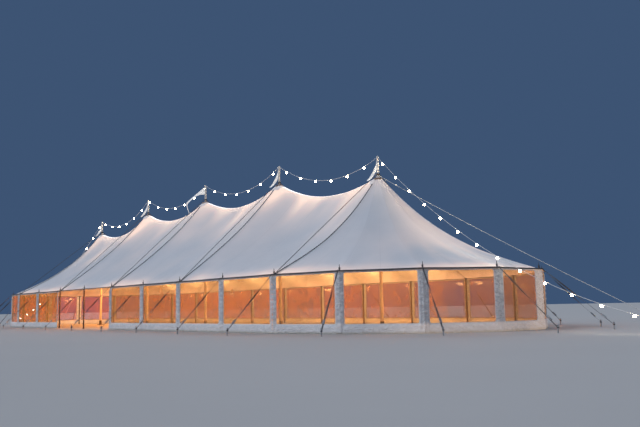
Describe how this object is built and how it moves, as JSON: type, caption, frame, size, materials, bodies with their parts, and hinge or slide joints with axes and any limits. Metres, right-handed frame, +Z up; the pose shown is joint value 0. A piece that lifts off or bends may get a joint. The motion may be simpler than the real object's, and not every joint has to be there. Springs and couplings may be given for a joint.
{
  "type": "sailcloth pole tent, scale model at 1:2",
  "caption": "Long white pole tent with hanging ridge, rounded ends, window walls, guy lines and strings of lamps, as a half-size model.",
  "frame": {"origin": "on the ground at the middle of the plan, under the middle king pole", "axes": "+X along the ridge to the end that is on the right in the picture, -Y to the front with the open bays, +Z up"},
  "size_m": [24.2976, 6.705, 3.49],
  "materials": {
    "canvas": "matt sailcloth, letting light through",
    "wall_cloth": "matt coated cloth",
    "clear_sheet": "clear flexible sheet",
    "timber": "pale planed timber",
    "side_pole_timber": "stained timber",
    "dark_rope": "twisted rope and webbing",
    "pale_rope": "pale laid rope",
    "lamp_glass": "frosted warm lamps on a rubber cord",
    "pennant_cloth": "light cotton"
  },
  "bodies": {
    "root": {"canopy_bay_1": "canvas", "canopy_bay_2": "canvas", "canopy_bay_3": "canvas", "canopy_bay_4": "canvas", "canopy_right_end": "canvas", "canopy_left_end": "canvas", "king_pole_1": "timber", "king_pole_2": "timber", "king_pole_3": "timber", "king_pole_4": "timber", "king_pole_5": "timber", "seam_rope_1": "dark_rope", "seam_rope_2": "dark_rope", "seam_rope_3": "dark_rope", "seam_rope_4": "dark_rope", "seam_rope_5": "dark_rope", "pennant_1": "pennant_cloth", "pennant_2": "pennant_cloth", "pennant_3": "pennant_cloth", "pennant_4": "pennant_cloth", "pennant_5": "pennant_cloth", "side_poles_front": "side_pole_timber", "side_poles_back": "side_pole_timber", "side_poles_right_end": "side_pole_timber", "side_poles_left_end": "side_pole_timber", "guy_lines_front": "dark_rope", "guy_lines_back": "dark_rope", "guy_lines_right_end": "dark_rope", "guy_lines_left_end": "dark_rope", "wall_front_left": "wall_cloth", "wall_front_right": "wall_cloth", "wall_right_end": "wall_cloth", "wall_left_end": "wall_cloth", "wall_back": "wall_cloth", "window_sheet_front_left": "clear_sheet", "window_sheet_front_right": "clear_sheet", "window_sheet_right_end": "clear_sheet", "window_sheet_left_end": "clear_sheet", "window_sheet_back": "clear_sheet", "storm_stay_right": "pale_rope", "storm_stay_left": "pale_rope", "lamp_stay_right": "lamp_glass", "lamp_stay_left": "lamp_glass", "lamp_string": "lamp_glass"}
  },
  "joints": []
}
